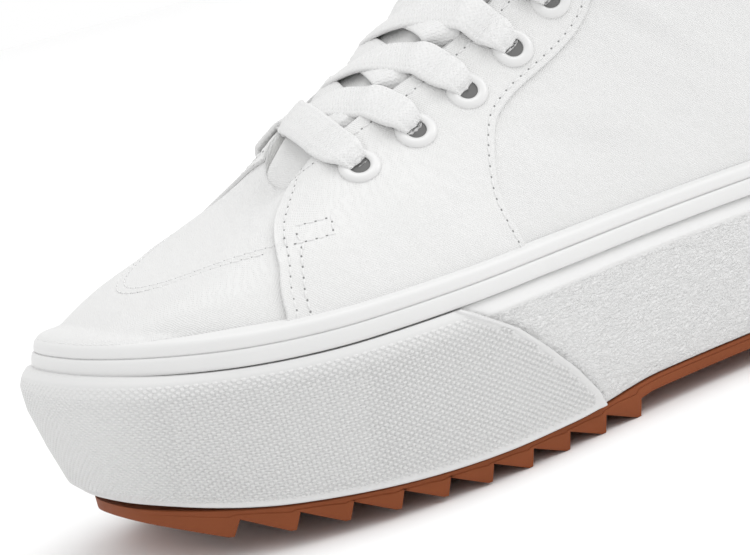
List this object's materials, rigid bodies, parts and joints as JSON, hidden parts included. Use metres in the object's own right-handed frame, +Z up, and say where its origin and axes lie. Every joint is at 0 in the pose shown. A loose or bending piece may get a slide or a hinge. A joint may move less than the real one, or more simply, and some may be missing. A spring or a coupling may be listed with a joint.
{
  "type": "platform sneaker",
  "caption": "White canvas lace-up high-top sneaker on a thick white rubber platform with a textured toe bumper and a gum-brown sawtooth outsole, left shoe.",
  "frame": {"origin": "middle of the shoe's plan on the floor it stands on", "axes": "+Z up, toe toward -Y and heel toward +Y, outer (lateral) side toward +X"},
  "size_m": [0.1056, 0.2828, 0.184],
  "materials": {
    "gum": "semi-matt gum rubber",
    "white_rubber": "semi-matt moulded white rubber",
    "lining": "plain cotton lining",
    "canvas": "fine plain-woven canvas",
    "lace_cotton": "flat woven lace",
    "enamel": "glossy white enamel"
  },
  "bodies": {
    "root": {"outsole": "gum", "platform": "white_rubber", "toe_bumper": "white_rubber", "foxing": "white_rubber", "insole": "lining", "upper": "canvas", "tongue": "canvas", "lace": "lace_cotton", "eyelet_lateral_1": "enamel", "eyelet_lateral_2": "enamel", "eyelet_lateral_3": "enamel", "eyelet_lateral_4": "enamel", "eyelet_lateral_5": "enamel", "eyelet_lateral_6": "enamel", "eyelet_lateral_7": "enamel", "eyelet_lateral_8": "enamel", "eyelet_medial_1": "enamel", "eyelet_medial_2": "enamel", "eyelet_medial_3": "enamel", "eyelet_medial_4": "enamel", "eyelet_medial_5": "enamel", "eyelet_medial_6": "enamel", "eyelet_medial_7": "enamel", "eyelet_medial_8": "enamel"}
  },
  "joints": []
}
